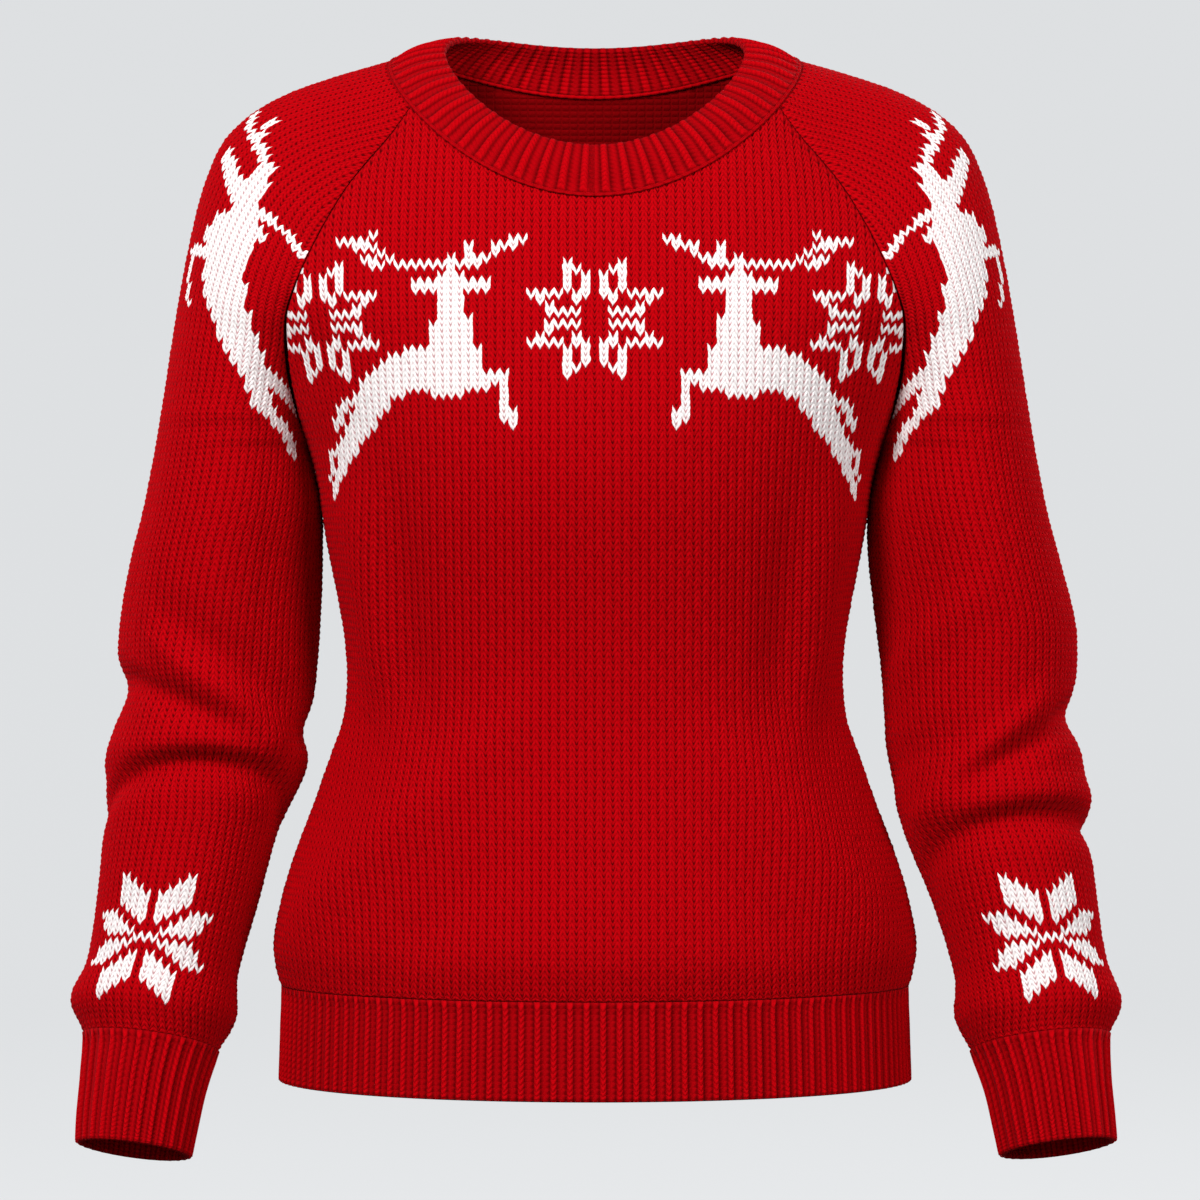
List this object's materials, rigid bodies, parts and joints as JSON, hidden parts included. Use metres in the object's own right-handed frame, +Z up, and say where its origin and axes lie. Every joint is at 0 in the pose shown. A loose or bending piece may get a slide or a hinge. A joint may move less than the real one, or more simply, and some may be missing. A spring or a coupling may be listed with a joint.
{
  "type": "christmas sweater",
  "caption": "Knitted raglan pullover in its worn form, with ribbed neckband, hem and cuffs; neck, sleeves and hem are open hollows.",
  "frame": {"origin": "middle of the neck opening, level with the neck ends of the shoulders, where the wearer holds the sweater up", "axes": "+Z up along the body, -Y out of the front, +X to the right of a viewer who faces the front"},
  "size_m": [0.6411, 0.2428, 0.6995],
  "materials": {
    "red_knit": "soft woollen stocking stitch in deep red, with motifs in white yarn",
    "red_rib": "soft woollen ribbing in the same deep red yarn"
  },
  "bodies": {
    "root": {"front_panel": "red_knit", "back_panel": "red_knit", "sleeve_left": "red_knit", "sleeve_right": "red_knit", "hem_rib_front": "red_rib", "hem_rib_back": "red_rib", "cuff_left": "red_rib", "cuff_right": "red_rib", "neckband": "red_rib"}
  },
  "joints": []
}
